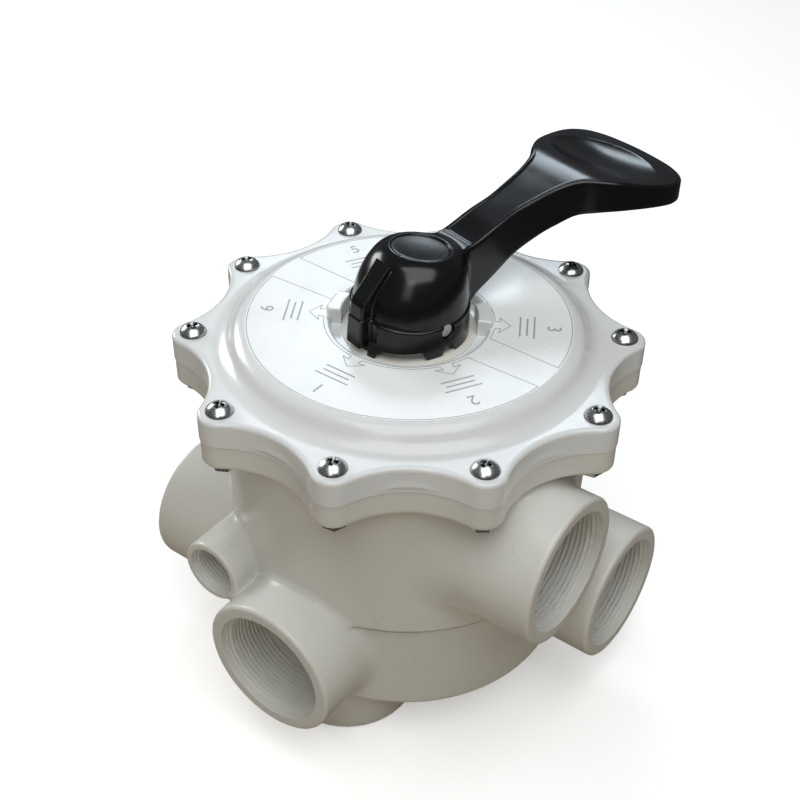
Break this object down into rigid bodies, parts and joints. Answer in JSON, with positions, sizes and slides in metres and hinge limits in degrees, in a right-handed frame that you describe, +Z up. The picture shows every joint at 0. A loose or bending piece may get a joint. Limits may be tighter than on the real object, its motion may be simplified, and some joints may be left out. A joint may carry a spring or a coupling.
{
  "type": "multiport valve",
  "caption": "Six-way multiport valve for a pool filter: round lobed housing, threaded side and bottom ports, raised cover and a long turn-and-press lever handle.",
  "frame": {"origin": "on the bottom port's axis, at the outer end of its thread", "axes": "+Z up along the stem, +X towards the side with two ports, -Y towards the front port"},
  "size_m": [0.2244, 0.2611, 0.2552],
  "materials": {
    "body_plastic": "warm white moulded ABS, satin",
    "cover_plastic": "cool white moulded ABS, glossy",
    "inner_plastic": "light grey moulded plastic",
    "nylon": "natural nylon",
    "label_film": "white film with thin grey marks",
    "seal_rubber": "black EPDM rubber",
    "stainless": "stainless steel",
    "spring_steel": "stainless spring wire",
    "handle_plastic": "black glossy moulded plastic",
    "cap_plastic": "black satin plastic"
  },
  "bodies": {
    "housing": {"upper_body": "body_plastic", "lower_body": "body_plastic", "port_divider": "inner_plastic", "spider_gasket": "seal_rubber", "cover": "cover_plastic", "cover_seal": "seal_rubber", "position_label": "label_film", "cover_screws": "stainless", "screw_washers": "stainless", "cover_nuts": "stainless", "upper_spring_washer": "nylon"},
    "turning_ring": {"slip_washer": "nylon", "rotor_spring": "spring_steel"},
    "rotor_assembly": {"rotor": "inner_plastic", "stem": "inner_plastic", "stem_oring_upper": "seal_rubber", "stem_oring_lower": "seal_rubber", "lower_spring_washer": "nylon"},
    "handle_assembly": {"handle": "handle_plastic", "handle_pin": "stainless", "handle_cap": "cap_plastic"}
  },
  "joints": [
    {"name": "valve_turn", "type": "hinge", "parent": "housing", "child": "turning_ring", "pos_m": [0, 0.05, 0.189], "axis": [0, 0, 1], "continuous": true},
    {"name": "rotor_lift", "type": "slide", "parent": "turning_ring", "child": "rotor_assembly", "axis": [0, 0, 1], "range_m": [0, 0.0055], "deforming": ["rotor_spring"]},
    {"name": "handle_tilt", "type": "hinge", "parent": "rotor_assembly", "child": "handle_assembly", "pos_m": [0, 0.05, 0.206], "axis": [-0.9659, 0.2588, 0], "range_deg": [0, 10]}
  ],
  "couplings": [
    {"joint": "rotor_lift", "follows": "handle_tilt", "m_per_rad": 0.0315}
  ]
}
